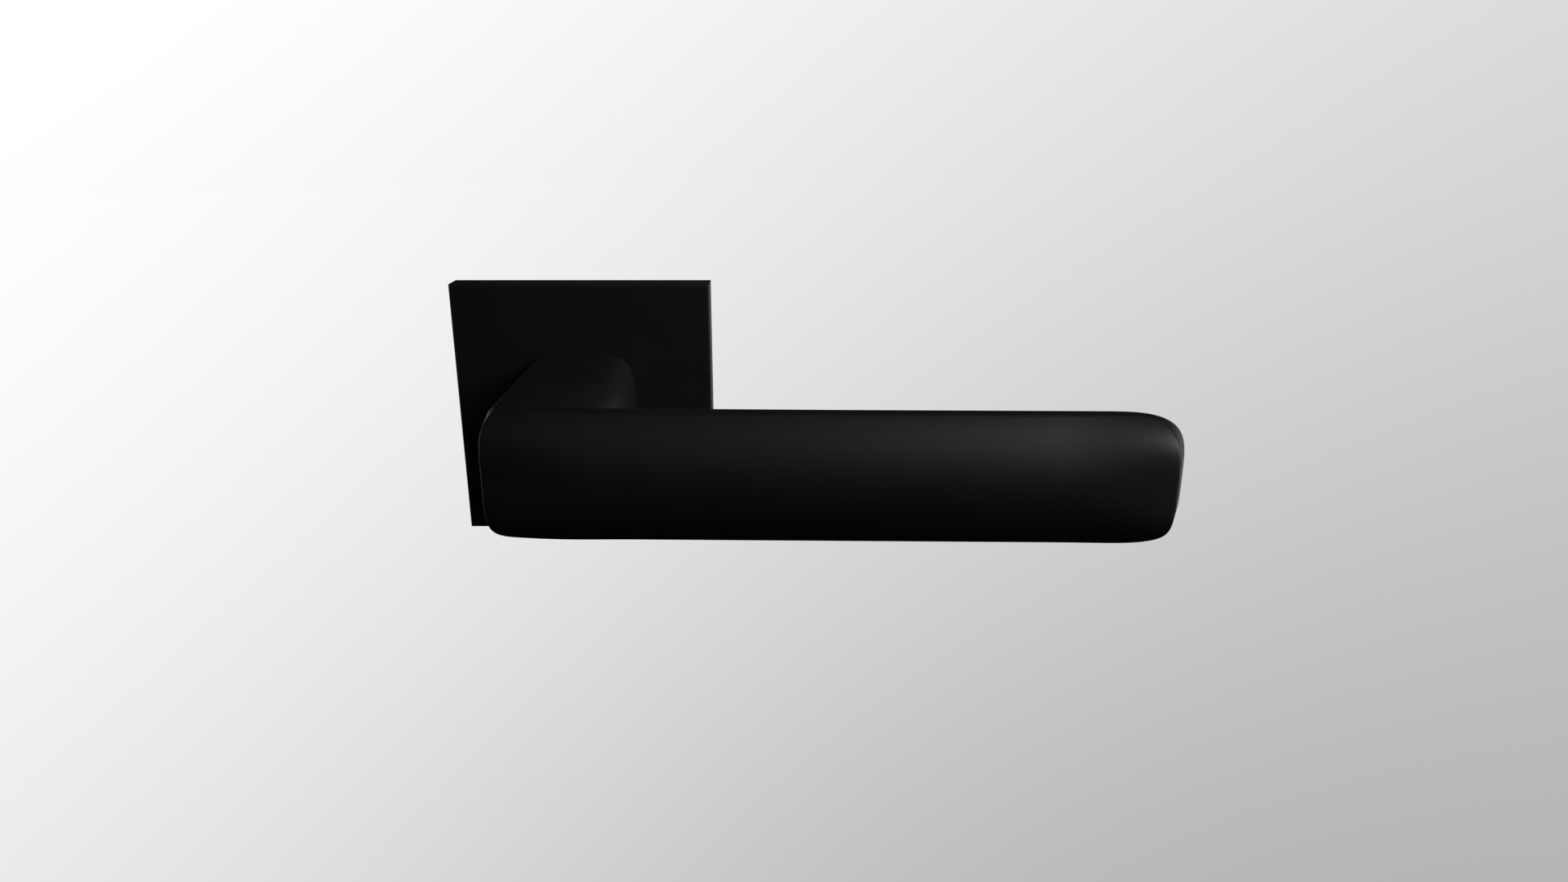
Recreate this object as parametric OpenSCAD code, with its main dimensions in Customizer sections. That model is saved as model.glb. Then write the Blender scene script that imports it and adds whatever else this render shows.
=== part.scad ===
// Door lever handle on a slim square rose, with its return spring, spindle and fixings.
// The spindle axis is Y, into the door. Y = 0 is the door face, +X runs along the lever and +Z is up.

/* [Lever] */
// Spindle axis to the tip of the lever
lever_reach = 108.3; // [95:0.1:130]
// Spindle axis to the lever's short end
heel_reach = 10.3; // [9.8:0.1:12]
// Height of the lever arm
arm_h = 23.4; // [20:0.1:26]
// Thickness of the lever arm through its middle
arm_t = 9.6; // [8:0.1:12]
// Door face to the front of the lever arm beside the neck
projection = 51.3; // [50:0.1:60]
// How much further out the tip stands than the neck end
arm_lean = 1.7; // [0:0.1:3]
// Radius of the domed front face
dome_r = 15.5; // [14:0.5:30]
// Radius between the domed front and the flat top and bottom
edge_r = 2.2; // [1.2:0.1:3]
// Length of the rounded end of the arm
end_len = 16; // [10:0.5:22]
// Squareness of the arm's outline at the tip
end_squareness = 4; // [2.4:0.1:5]
// How far the dome draws in towards the tip's rounded corners, 1 to follow the outline fully
corner_pull = 0.95; // [0.5:0.01:0.97]
// How far the end wall at the tip slopes out from the crisp edge of the front to the outline
tip_slope = 2.8; // [0.3:0.1:4]
// The same for the wall at the lever's short end
heel_slope = 0.3; // [0.2:0.1:1]
// Squareness of the crisp edge there
heel_squareness = 5; // [3:0.1:8]
// Rounding of the crisp edges at both ends
crease_r = 0.4; // [0.2:0.1:1]
// How much flatter the dome gets at both ends, as a power of the height
end_flatness = 2.4; // [1:0.1:4]
// Length over which it flattens towards the tip
tip_run = 19; // [12:1:30]
// Length over which it flattens and falls back towards the short end
heel_run = 26; // [15:1:40]
// How far the front falls back at the short end
heel_fall = 2.7; // [0:0.1:3]
// Width of the neck
neck_w = 21; // [20.6:0.1:23]
// Height of the neck
neck_h = 24; // [22:0.1:27]
// Squareness of the neck's inner side, towards the arm's tip
neck_squareness = 4.2; // [2.4:0.1:5]
// Squareness of its outer side, which runs on into the lever's short end
outer_squareness = 6.5; // [4:0.1:9]
// Inner fillet between the neck and the back of the arm
inner_fillet_r = 5.5; // [3:0.1:7]

/* [Rose] */
// Width and height of the square rose
rose_w = 52; // [51:0.5:60]
// Thickness of the rose on the door
rose_t = 5.5; // [5.3:0.1:8]
// Thickness of the cover's face
cover_face_t = 1.2; // [0.8:0.1:1.4]
// Thickness of the cover's side walls
cover_wall_t = 1.0; // [0.6:0.1:1.4]
// Bevel along the cover's front edges
cover_bevel = 0.3; // [0.1:0.05:0.8]
// Length of a spring clip
clip_len = 9; // [6:0.5:12]
// Width of a spring clip
clip_w = 2.2; // [1.5:0.1:2.8]
// Thickness of a spring clip
clip_t = 0.4; // [0.3:0.05:0.5]
// Radius that a spring clip is bowed to
clip_bow_r = 16; // [12:1:24]
// Middle of each side to the middle of its spring clip
clip_offset = 9; // [8.8:0.1:9.4]

/* [Shank and spindle] */
// Diameter of the turned shank
shank_d = 16; // [15:0.1:16.4]
// Depth of the shank in the neck, from the neck's end
shank_seat = 24.2; // [18:0.1:30]
// Width across the shank's two driving flats
shank_flats_w = 14; // [13:0.1:14.6]
// Width of the square spindle
spindle_w = 8; // [7:0.1:8.5]
// Spindle length behind the door face
spindle_reach = 60; // [45:1:80]
// Length of the shank behind its retaining ring
shank_tail = 1.2; // [0.8:0.1:3]
// Bevel on the spindle's ends
spindle_bevel = 0.8; // [0.3:0.1:1.2]
// Spindle depth in the shank, in front of the door face
spindle_seat = 28; // [20:0.5:29]
// Diameter of the grub screw
grub_d = 6; // [4:0.5:7]
// Neck's end to the grub screw's axis
grub_y = 8.2; // [6:0.1:10]
// Diameter of the cross pin that locks the shank in the neck
cross_pin_d = 3; // [2:0.5:4]
// Neck's end to the cross pin's axis
cross_pin_y = 18.5; // [16:0.1:20]
// Depth of the grub screw and the cross pin below the neck's surface
pin_sink = 1.2; // [0.8:0.1:2]

/* [Spring housing] */
// Outer diameter of the barrel that enters the door
barrel_d = 29; // [28.4:0.1:29.4]
// How much wider the barrel's seat in the base is, all round
barrel_step = 0.4; // [0.2:0.1:0.6]
// Inner diameter of the barrel
barrel_bore = 22; // [21.6:0.1:22.4]
// Barrel length behind the door face
barrel_reach = 8.8; // [8.6:0.1:14]
// Thickness of the barrel's floor behind the door face
floor_t = 0.8; // [0.4:0.1:1.2]
// Thickness of the flange under the cover
flange_t = 1.5; // [1:0.1:2]
// Width of the flange
flange_w = 24; // [20:0.5:25]
// Diameter that the flange is turned to
flange_d = 38; // [34:0.5:42]
// Wire diameter of the return spring
wire_d = 1.4; // [1:0.1:1.5]
// Depth of the spring's leg in the floor
floor_leg_depth = 2.2; // [1.5:0.1:3]
// Turns of the return spring
spring_turns = 2.75; // [1.75:1:2.75]
// Thickness of the spring rotor
rotor_t = 1.6; // [1.2:0.1:1.8]
// Rim of the rotor to the bore of the barrel
rotor_gap = 0.3; // [0.2:0.05:0.5]
// Turn of the lever from rest to its stop, in degrees
turn_deg = 42; // [30:1:55]
// Width of the rotor's stop lug
lug_w = 4; // [3:0.1:5]
// Height of the stop lug on the rotor's rim
lug_h = 1.5; // [1:0.1:1.8]
// Thickness of the end plate
plate_t = 1.0; // [0.8:0.1:1.4]
// How much smaller the end plate is than the barrel, all round
plate_inset = 0.2; // [0.1:0.1:0.3]
// Diameter of the end plate's screws
plate_screw_d = 2; // [1.6:0.2:2.4]
// Length of the end plate's screws under the head
plate_screw_len = 5; // [4:0.5:7]
// Diameter of the end plate's screw heads
plate_head_d = 3; // [2.6:0.1:3.1]
// Height of the end plate's screw heads
plate_head_h = 1.1; // [0.8:0.1:1.6]
// Wall of the nylon bushes
bush_t = 0.7; // [0.5:0.05:0.75]
// Width of the bushes' flanges
bush_flange_w = 1.9; // [1.6:0.05:2]
// Thickness of the rear bush's flange
rear_flange_t = 0.4; // [0.3:0.05:0.6]
// Thickness of the retaining ring
ring_t = 1.0; // [0.8:0.1:1.2]
// Width of the retaining ring's band
ring_w = 1.8; // [1.4:0.1:2.2]
// Diameter of the retaining ring's eyes
ring_eye_d = 3; // [2.6:0.1:3.4]
// Turn from the middle of the retaining ring's gap to an eye, in degrees
ring_eye_turn = 28; // [22:1:40]
// Turn from the middle of the retaining ring's gap to its end, in degrees
ring_gap_turn = 23; // [16:1:30]
// Diameter at the bottom of the retaining ring's groove
groove_d = 15.0; // [14.2:0.1:15.2]
// Width of the disc spring
disc_w = 1.7; // [1.4:0.1:2.4]
// Thickness of the disc spring under the retaining ring
disc_t = 0.35; // [0.25:0.05:0.4]
// Dish of the disc spring
disc_dish = 0.3; // [0.2:0.05:0.4]

/* [Fixings] */
// Distance between the two through bolts
bolt_pitch = 38; // [37.6:0.1:38.4]
// Diameter of the through bolts
bolt_d = 4; // [3:0.5:4.5]
// Diameter of the through bolts' heads
bolt_head_d = 7.5; // [6.4:0.1:8]
// Reach of the through bolts behind the door face
bolt_reach = 52; // [35:1:75]
// Length of the bolts' thread
bolt_thread_len = 30; // [20:1:40]
// Diameter of the locating sleeves on the bolts
sleeve_d = 7; // [6.6:0.1:7.4]
// Reach of the locating sleeves behind the door face
sleeve_reach = 8; // [4:0.5:12]
// Depth of the locating sleeves in the base
sleeve_seat = 1.6; // [1:0.1:1.7]
// Diameter of the wood screws
wood_screw_d = 3.5; // [3:0.1:4]
// Diameter of the wood screws' heads
wood_head_d = 6.8; // [5.8:0.1:7.4]
// Length of the wood screws' points
wood_point_len = 5; // [3:0.5:7]
// Reach of the wood screws behind the door face
wood_screw_reach = 16; // [12:1:25]
// Spacing of the four wood screws, both ways
wood_screw_pitch = 37; // [36:0.5:38]
// Plain stretch of the wood screws behind the door face
wood_plain_len = 1; // [0.5:0.5:4]
// How much thinner the bolts' and screws' plain shafts are than their threads, all round
waist_step = 0.15; // [0.1:0.05:0.3]
// Straight rim of the countersunk heads
head_rim = 0.2; // [0.1:0.05:0.4]
// Depth of the countersunk heads below the base's face
head_sink = 0.1; // [0.05:0.05:0.3]
// Depth of a cross recess, as a share of the screw's diameter
recess_depth = 0.4; // [0.3:0.05:0.5]
// Width of a cross recess's slots, as a share of the screw's diameter
recess_width = 0.25; // [0.15:0.05:0.3]
// Length of a cross recess's slots, as a share of the screw's diameter
recess_length = 1.2; // [1:0.05:1.3]

/* [Clearances] */
// Radial running clearance of the shank in its bushes
run_fit = 0.05; // [0.02:0.01:0.09]
// Radial clearance of a pressed or screwed seat
seat_fit = 0.02; // [0.01:0.01:0.04]
// Radial clearance of a through hole on its bolt or screw
hole_fit = 0.2; // [0.1:0.05:0.3]
// Gap between the return spring's coil and the barrel
coil_gap = 0.6; // [0.4:0.05:0.8]
// Radial clearance of the return spring's legs in their holes
leg_fit = 0.05; // [0.02:0.01:0.1]
// Gap between the neck's end and the rose
neck_gap = 0.3; // [0.2:0.05:0.5]
// Gap around the base inside the cover
cover_gap = 0.3; // [0.2:0.05:0.5]
// Small axial gap between stacked moving pieces
stack_gap = 0.1; // [0.05:0.01:0.15]

/* [Hidden] */
$fn = 96;
eps = 0.01;
// How far a cut runs out beyond the piece that it is cut from
over = 1;

// Rose stack
rose_face_y = -rose_t;
base_t = rose_t - cover_face_t;
base_w = rose_w - 2 * (cover_wall_t + cover_gap);
neck_end_y = rose_face_y - neck_gap;
head_y = head_sink - base_t;

// Shank, bushes and the cover's hole
shank_r = shank_d / 2;
bush_bore_r = shank_r + run_fit;
bush_r = bush_bore_r + bush_t;
bush_seat_r = bush_r + seat_fit;
bush_flange_r = bush_bore_r + bush_flange_w;
cover_hole_r = bush_flange_r + seat_fit;
bush_front_y = neck_end_y + neck_gap / 2;

// Barrel
barrel_r = barrel_d / 2;
barrel_bore_r = barrel_bore / 2;
barrel_seat_r = barrel_r + barrel_step;
lug_sweep_r = barrel_bore_r - rotor_gap + lug_h;
pocket_r = lug_sweep_r + rotor_gap;
wall_mid_r = (barrel_bore_r + barrel_r) / 2;

// Stack along the shank, from the barrel's mouth
plate_end_y = barrel_reach + plate_t;
rotor_end_y = barrel_reach - rear_flange_t - 2 * stack_gap;
rotor_y = rotor_end_y - rotor_t;
disc_y = plate_end_y + stack_gap / 2;
ring_y = disc_y + disc_t + disc_dish + stack_gap / 2;
shank_end_y = ring_y + ring_t + shank_tail;
shank_front_y = neck_end_y - shank_seat;

// Return spring
coil_r = barrel_bore_r - coil_gap - wire_d / 2;
coil_y = floor_t + stack_gap + wire_d / 2;
coil_rise = rotor_y - stack_gap - wire_d / 2 - coil_y;
leg_hole_r = wire_d / 2 + leg_fit;
wire_sides = 8;
ring_steps = 20;

// Fixings
bolt_head_r = bolt_head_d / 2;
wood_head_r = wood_head_d / 2;
plate_screw_y = plate_end_y - plate_screw_len - stack_gap;
plate_screw_turns = [120, 210, 300];

// Clips: the bow just reaches the cover's wall, and its ends rest in the notch
clip_depth = clip_bow_r - sqrt((clip_bow_r - clip_t)^2 - (clip_len / 2)^2);
clip_top = base_w / 2 + cover_gap - seat_fit;
clip_notch_floor = clip_top - clip_depth - seat_fit;
clip_slot_len = clip_len + 2 * hole_fit;
clip_slot_w = clip_w + 2 * hole_fit;

// Solid of revolution about the spindle axis, from y0 to y1
module bar(y0, y1, r, r_end = -1) {
    translate([0, y0, 0])
        rotate([-90, 0, 0])
            cylinder(h = y1 - y0, r1 = r, r2 = r_end < 0 ? r : r_end);
}

// Ring about the spindle axis
module tube(y0, y1, r_in, r_out) {
    difference() {
        bar(y0, y1, r_out);
        bar(y0 - eps, y1 + eps, r_in);
    }
}

// Outline drawn in the XZ plane, carried from y0 to y1
module plate(y0, y1) {
    translate([0, y1, 0])
        rotate([90, 0, 0])
            linear_extrude(y1 - y0)
                children();
}

// Turn a child from straight up towards +X, about the spindle axis
module at_turn(a) {
    rotate([0, a, 0])
        children();
}

// Places of the two bolts and of the four wood screws
module at_bolts() {
    for (side = [-1, 1])
        translate([side * bolt_pitch / 2, 0, 0])
            children();
}

module at_wood_screws() {
    for (x = [-1, 1], z = [-1, 1])
        translate([x * wood_screw_pitch / 2, 0, z * wood_screw_pitch / 2])
            children();
}

// Countersunk head with its face at y0, and its shaft to y1; fit widens the head alone
module countersunk(y0, y1, head_r, shaft_r, fit = 0) {
    cone_y = y0 + head_rim;
    shaft_y = cone_y + head_r + fit - shaft_r;
    bar(y0, cone_y, head_r + fit);
    bar(cone_y, shaft_y, head_r + fit, shaft_r);
    bar(shaft_y - eps, y1, shaft_r);
}

// Cross recess for a screw of diameter d, cut from y0 to y1
module cross_recess(y0, y1, d) {
    for (turn = [45, 135])
        at_turn(turn)
            translate([-recess_width * d / 2, y0, -recess_length * d / 2])
                cube([recess_width * d, y1 - y0, recess_length * d]);
}

// ---- Rose ----

// Steel cover: bevelled front edges, open back, round hole for the bush
module rose_cover() {
    w = rose_w / 2;
    b = cover_bevel;
    section = [[-w, 0], [w, 0], [w, b - rose_t], [w - b, -rose_t], [b - w, -rose_t], [-w, b - rose_t]];
    color("#17191b")
    difference() {
        intersection() {
            translate([0, 0, -w])
                linear_extrude(rose_w)
                    polygon(section);
            rotate([0, 90, 0])
                translate([0, 0, -w])
                    linear_extrude(rose_w)
                        polygon(section);
        }
        plate(-base_t, over)
            square(rose_w - 2 * cover_wall_t, center = true);
        bar(-rose_t - over, over, cover_hole_r);
    }
}

// Outline of the housing's flange, which keys into the base
module flange_outline(grow = 0) {
    intersection() {
        circle(r = flange_d / 2 + grow);
        square([flange_w + 2 * grow, flange_d + over], center = true);
    }
}

// Die-cast base plate behind the cover
module rose_base() {
    color("#b9b7b0")
    difference() {
        plate(-base_t, 0)
            square(base_w, center = true);
        bar(-base_t - over, over, barrel_seat_r + seat_fit);
        plate(-base_t - over, flange_t - base_t)
            flange_outline(cover_gap / 2);
        at_bolts() {
            bar(-base_t - over, head_y + eps, bolt_head_r + seat_fit);
            countersunk(head_y, over, bolt_head_r, bolt_d / 2 + hole_fit, seat_fit);
            bar(-sleeve_seat, over, sleeve_d / 2 + seat_fit);
        }
        at_wood_screws() {
            bar(-base_t - over, head_y + eps, wood_head_r + seat_fit);
            countersunk(head_y, over, wood_head_r, wood_screw_d / 2 + hole_fit, seat_fit);
        }
        for (a = [0, 90, 180, 270])
            at_turn(a)
                translate([clip_offset - clip_slot_len / 2, -(base_t + clip_slot_w) / 2, clip_notch_floor])
                    cube([clip_slot_len, clip_slot_w, base_w]);
    }
}

// Four bowed leaf springs that grip the cover's walls, clear of the bolts and the screws
module cover_clips() {
    centre_z = clip_top - clip_bow_r;
    color("#8d9094")
    for (a = [0, 90, 180, 270])
        at_turn(a)
            translate([clip_offset, 0, 0])
            intersection() {
                translate([0, 0, centre_z])
                    tube(-(base_t + clip_w) / 2, (clip_w - base_t) / 2, clip_bow_r - clip_t, clip_bow_r);
                translate([-clip_len / 2, -base_t, centre_z])
                    cube([clip_len, base_t, clip_bow_r + over]);
            }
}

// ---- Spring housing and what it holds ----

// Sector that reaches from turn a0 to turn a1 about the spindle axis
module sector(a0, a1, r) {
    mid = (a0 + a1) / 2;
    polygon([[0, 0], for (a = [a0, mid, a1]) 2 * r * [sin(a), cos(a)]]);
}

// Pocket in the barrel's wall that the stop lug swings in
module stop_pocket() {
    slack = asin((lug_w / 2 + stack_gap) / (barrel_bore_r - rotor_gap));
    plate(rotor_y - 2 * stack_gap, barrel_reach + over)
        intersection() {
            circle(r = pocket_r);
            sector(-slack, turn_deg + slack, pocket_r);
        }
}

// Cup that carries the spring: keyed flange in front, barrel through the base into the door
module spring_housing() {
    color("#a9a79f")
    difference() {
        union() {
            plate(-base_t, flange_t - base_t)
                flange_outline();
            bar(-base_t, 0, barrel_seat_r);
            bar(-eps, barrel_reach, barrel_r);
        }
        bar(-base_t - over, barrel_reach, bush_seat_r);
        bar(floor_t, barrel_reach + over, barrel_bore_r);
        stop_pocket();
        translate([0, 0, coil_r])
            bar(floor_t - floor_leg_depth, floor_t + over, leg_hole_r);
        for (a = plate_screw_turns)
            at_turn(a)
                translate([0, 0, wall_mid_r])
                    bar(plate_screw_y, barrel_reach + over, plate_screw_d / 2 + seat_fit);
    }
}

// Nylon bush in front: its flange fills the cover's hole and carries the neck's end
module front_bush() {
    color("#e6e3d8")
    union() {
        tube(bush_front_y, -base_t, bush_bore_r, bush_flange_r);
        tube(-base_t - eps, floor_t, bush_bore_r, bush_r);
    }
}

// Nylon bush in the end plate, with its flange towards the rotor
module rear_bush() {
    color("#e6e3d8")
    union() {
        tube(barrel_reach - rear_flange_t, barrel_reach, bush_bore_r, bush_flange_r);
        tube(barrel_reach - eps, plate_end_y, bush_bore_r, bush_r);
    }
}

// Points of the spring's wire: leg in the floor, coil, leg in the rotor, as [turn, y]
function spring_route() =
    let (steps = round(ring_steps * spring_turns), last = 360 * spring_turns)
    [
        [0, floor_t - floor_leg_depth + stack_gap],
        [0, floor_t],
        for (i = [0 : steps]) [last * i / steps, coil_y + coil_rise * i / steps],
        [last, rotor_y],
        [last, rotor_end_y - stack_gap]
    ];

function on_coil(p) = [coil_r * sin(p[0]), p[1], coil_r * cos(p[0])];

// Torsion spring: an eight-sided wire swept along its route
module return_spring() {
    route = spring_route();
    count = len(route);
    spots = [for (p = route) on_coil(p)];
    ways = [for (i = [0 : count - 1])
        let (d = spots[min(i + 1, count - 1)] - spots[max(i - 1, 0)]) d / norm(d)];
    points = [for (i = [0 : count - 1]) each
        let (
            out = [sin(route[i][0]), 0, cos(route[i][0])],
            flat = out - (out * ways[i]) * ways[i],
            u = flat / norm(flat),
            v = cross(ways[i], u)
        )
        [for (k = [0 : wire_sides - 1])
            spots[i] + wire_d / 2 * (cos(360 * k / wire_sides) * u + sin(360 * k / wire_sides) * v)]];
    faces = [
        [for (k = [0 : wire_sides - 1]) k],
        [for (k = [0 : wire_sides - 1]) (count - 1) * wire_sides + wire_sides - 1 - k],
        for (i = [0 : count - 2], k = [0 : wire_sides - 1])
            let (n = (k + 1) % wire_sides, a = i * wire_sides, b = a + wire_sides)
            each [[a + k, b + k, b + n], [a + k, b + n, a + n]]
    ];
    color("#7d8186")
        polyhedron(points, faces);
}

// Steel disc that closes the barrel
module end_plate() {
    color("#9a9ea3")
    difference() {
        bar(barrel_reach, plate_end_y, barrel_r - plate_inset);
        bar(barrel_reach - over, plate_end_y + over, bush_seat_r);
        for (a = plate_screw_turns)
            at_turn(a)
                translate([0, 0, wall_mid_r])
                    bar(barrel_reach - over, plate_end_y + over, plate_screw_d / 2 + hole_fit / 2);
    }
}

// Three pan-head screws with cross recesses
module end_plate_screws() {
    head_top_y = plate_end_y + plate_head_h;
    color("#c3c6c9")
    for (a = plate_screw_turns)
        at_turn(a)
            translate([0, 0, wall_mid_r])
                difference() {
                    union() {
                        bar(plate_end_y, head_top_y, plate_head_d / 2);
                        bar(plate_screw_y + stack_gap, plate_end_y + eps, plate_screw_d / 2);
                    }
                    cross_recess(head_top_y - plate_head_h / 2, head_top_y + over, plate_screw_d);
                }
}

// Dished washer between the end plate and the retaining ring
module disc_spring() {
    r0 = shank_r + hole_fit;
    r1 = r0 + disc_w;
    color("#7d8186")
    translate([0, disc_y, 0])
        rotate([-90, 0, 0])
            rotate_extrude()
                polygon([[r1, 0], [r1, disc_t], [r0, disc_t + disc_dish], [r0, disc_dish]]);
}

// ---- Fixings ----

// Locating sleeves round the bolts, pressed into the back of the base
module bolt_sleeves() {
    color("#b4b6b8")
    at_bolts()
        tube(seat_fit - sleeve_seat, sleeve_reach, bolt_d / 2 + hole_fit, sleeve_d / 2);
}

// Two countersunk bolts: cross recess, plain waist, then thread with a bevelled end
module through_bolts() {
    thread_y = bolt_reach - bolt_thread_len;
    bevel = bolt_d / 8;
    color("#c3c6c9")
    at_bolts()
        difference() {
            union() {
                countersunk(head_y, thread_y, bolt_head_r, bolt_d / 2 - waist_step);
                bar(thread_y, bolt_reach - bevel, bolt_d / 2);
                bar(bolt_reach - bevel - eps, bolt_reach, bolt_d / 2, bolt_d / 2 - bevel);
            }
            cross_recess(head_y - over, head_y + recess_depth * bolt_d, bolt_d);
        }
}

// Four countersunk wood screws: cross recess, plain shaft, then thread and tapered point
module wood_screws() {
    point_y = wood_screw_reach - wood_point_len;
    thread_r = wood_screw_d / 2;
    color("#c9b98a")
    at_wood_screws()
        difference() {
            union() {
                countersunk(head_y, wood_plain_len, wood_head_r, thread_r - waist_step);
                bar(wood_plain_len - eps, point_y, thread_r);
                bar(point_y - eps, wood_screw_reach, thread_r, thread_r / 8);
            }
            cross_recess(head_y - over, head_y + recess_depth * wood_screw_d, wood_screw_d);
        }
}

// ---- Lever ----

half_h = arm_h / 2;
front_y = -projection;
// Where the dome runs into the edge rounding: both have the same slope there
edge_slope = asin((half_h - edge_r) / (dome_r - edge_r));
edge_centre_y = front_y + dome_r - (dome_r - edge_r) * cos(edge_slope);
back_y = front_y + arm_t;
back_r = back_y - edge_centre_y;
tip_x = lever_reach - end_len;
level_steps = 13;
level_top = 0.9985;
run_steps = 5;
bend_steps = 3;
// Both sides of the lever have as many points, so that the strips at top and bottom match
corner_steps = run_steps + bend_steps;
fillet_steps = corner_steps;
// How strongly levels and corner points crowd towards their ends
level_crowding = 2.2;
corner_crowding = 1.7;
// Run of the blend from neck to arm, and where it ends behind the arm for the height and the lean
blend_run = 6;
swell_lead = 5;
lean_lead = 8;
// Where the neck's extra height starts to run out along X, and how far short of the neck's width it ends
swell_start = -2;
swell_margin = 3;
swell_run = neck_w - swell_margin;

// Height levels from the lever's bottom to its top, closer together near the edges
levels = [for (i = [-level_steps : level_steps])
    sign(i) * level_top * (1 - (1 - abs(i) / level_steps)^level_crowding)];

// How far out a squared-off round outline reaches at level s, as a share of its length
function reach_share(s, squareness) = (1 - abs(s)^squareness)^(1 / squareness);
function end_share(s) = reach_share(s, end_squareness);
function backwards(list) = [for (i = [len(list) - 1 : -1 : 0]) list[i]];

// Distance from the door of the arm's front and back, where share is the height within its outline
function arm_front(share) =
    let (h = share * half_h, on_dome = h <= dome_r * sin(edge_slope))
    on_dome
        ? front_y + dome_r - sqrt(dome_r^2 - h^2)
        : edge_centre_y - sqrt(max(edge_r^2 - (h - half_h + edge_r)^2, 0));

function arm_back(share) =
    let (h = share * half_h)
    back_y - back_r + sqrt(back_r^2 - max(h - half_h + back_r, 0)^2);

function smooth(t) = let (c = min(max(t, 0), 1)) c * c * (3 - 2 * c);

// Where the short end's run stops and the tip's starts, and how far a place is into each, 1 at the end
run_marks = [heel_run - heel_reach, lever_reach - tip_slope - tip_run];
function heel_share(x) = max(run_marks[0] - x, 0) / heel_run;
function tip_share(x) = max(x - run_marks[1], 0) / tip_run;

// The front at a place: the dome flattens towards both ends and falls back at the short one
function face_y(x, s) =
    let (
        power = 1 + (end_flatness - 1) * (tip_share(x)^2 + heel_share(x)^2),
        local_height = end_share(corner_pull * max(x - tip_x, 0) / end_len),
        share = min(abs(s) / local_height, level_top)
    )
    arm_front(share^power) + heel_fall * heel_share(x)^2;
function outline_y(x) = edge_centre_y + heel_fall * heel_share(x)^2;

// The neck is a little taller than the arm, and runs down to it beside the bend
function swell(x, y) =
    let (
        along = smooth((x - swell_start) / swell_run),
        ahead = smooth((back_y + swell_lead - y) / blend_run)
    )
    1 + (neck_h / arm_h - 1) * (1 - along * ahead);

function lean(x) = arm_lean * max(x - neck_w / 2, 0) / (lever_reach - neck_w / 2);

function lever_point(x, y, s) =
    let (out = smooth((back_y + lean_lead - y) / blend_run))
    [x, y - lean(x) * out, s * half_h * swell(x, y)];

// Height within the tip's outline at level s, t = 0 where it starts and 1 at its outermost point
function end_height(s, t) =
    (abs(s)^end_squareness + (end_share(s) * t)^end_squareness)^(1 / end_squareness);
corner_ts = [for (i = [1 : corner_steps]) 1 - (1 - i / corner_steps)^corner_crowding];

// One end of the front at level s: the face, the small bend at its crisp edge, then the sloping wall
function end_path(s, start_x, crease_x, outline_x) =
    let (
        crease = [crease_x, face_y(crease_x, s)],
        outermost = [outline_x, outline_y(outline_x)],
        wall = outermost - crease,
        bend = min(crease_r, norm(wall) / 2),
        before_x = crease_x + sign(start_x - crease_x) * bend,
        before = [before_x, face_y(before_x, s)],
        after = crease + bend * wall / norm(wall)
    )
    [
        for (i = [1 : run_steps - 1])
            let (x = start_x + (before[0] - start_x) * i / run_steps)
            [x, face_y(x, s)],
        for (i = [0 : bend_steps])
            let (t = i / bend_steps)
            (1 - t)^2 * before + 2 * t * (1 - t) * crease + t^2 * after,
        outermost
    ];

// Outer side of the lever at one level: neck's outer wall, short end, front, tip
function outer_side(s) =
    let (
        outer = reach_share(s, outer_squareness),
        heel_crease = -(heel_reach - heel_slope) * reach_share(s, heel_squareness),
        tip_end = tip_x + end_len * end_share(s),
        wall_depth = edge_centre_y - face_y(tip_end - tip_slope, s),
        tip_crease = tip_end - tip_slope * wall_depth / (edge_centre_y - front_y)
    )
    [
        [-neck_w / 2 * outer, neck_end_y],
        each backwards(end_path(s, run_marks[0], heel_crease, -heel_reach * outer)),
        [run_marks[0], face_y(run_marks[0], s)],
        [run_marks[1], face_y(run_marks[1], s)],
        each end_path(s, run_marks[1], tip_crease, tip_end)
    ];

// Inner side at one level: neck's inner wall, fillet, back of the arm, tip
function inner_side(s) =
    let (
        wall_x = neck_w / 2 * reach_share(s, neck_squareness),
        fillet_y = arm_back(abs(s)) + inner_fillet_r,
        fillet_x = wall_x + inner_fillet_r
    )
    [
        [wall_x, neck_end_y],
        for (i = [0 : fillet_steps])
            let (a = 90 * i / fillet_steps)
            [fillet_x - inner_fillet_r * cos(a), fillet_y - inner_fillet_r * sin(a)],
        for (x = [(fillet_x + run_marks[1]) / 2, run_marks[1], tip_x]) [x, arm_back(abs(s))],
        for (i = [0 : corner_steps - 2])
            [tip_x + end_len * end_share(s) * corner_ts[i], arm_back(end_height(s, corner_ts[i]))]
    ];

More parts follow.
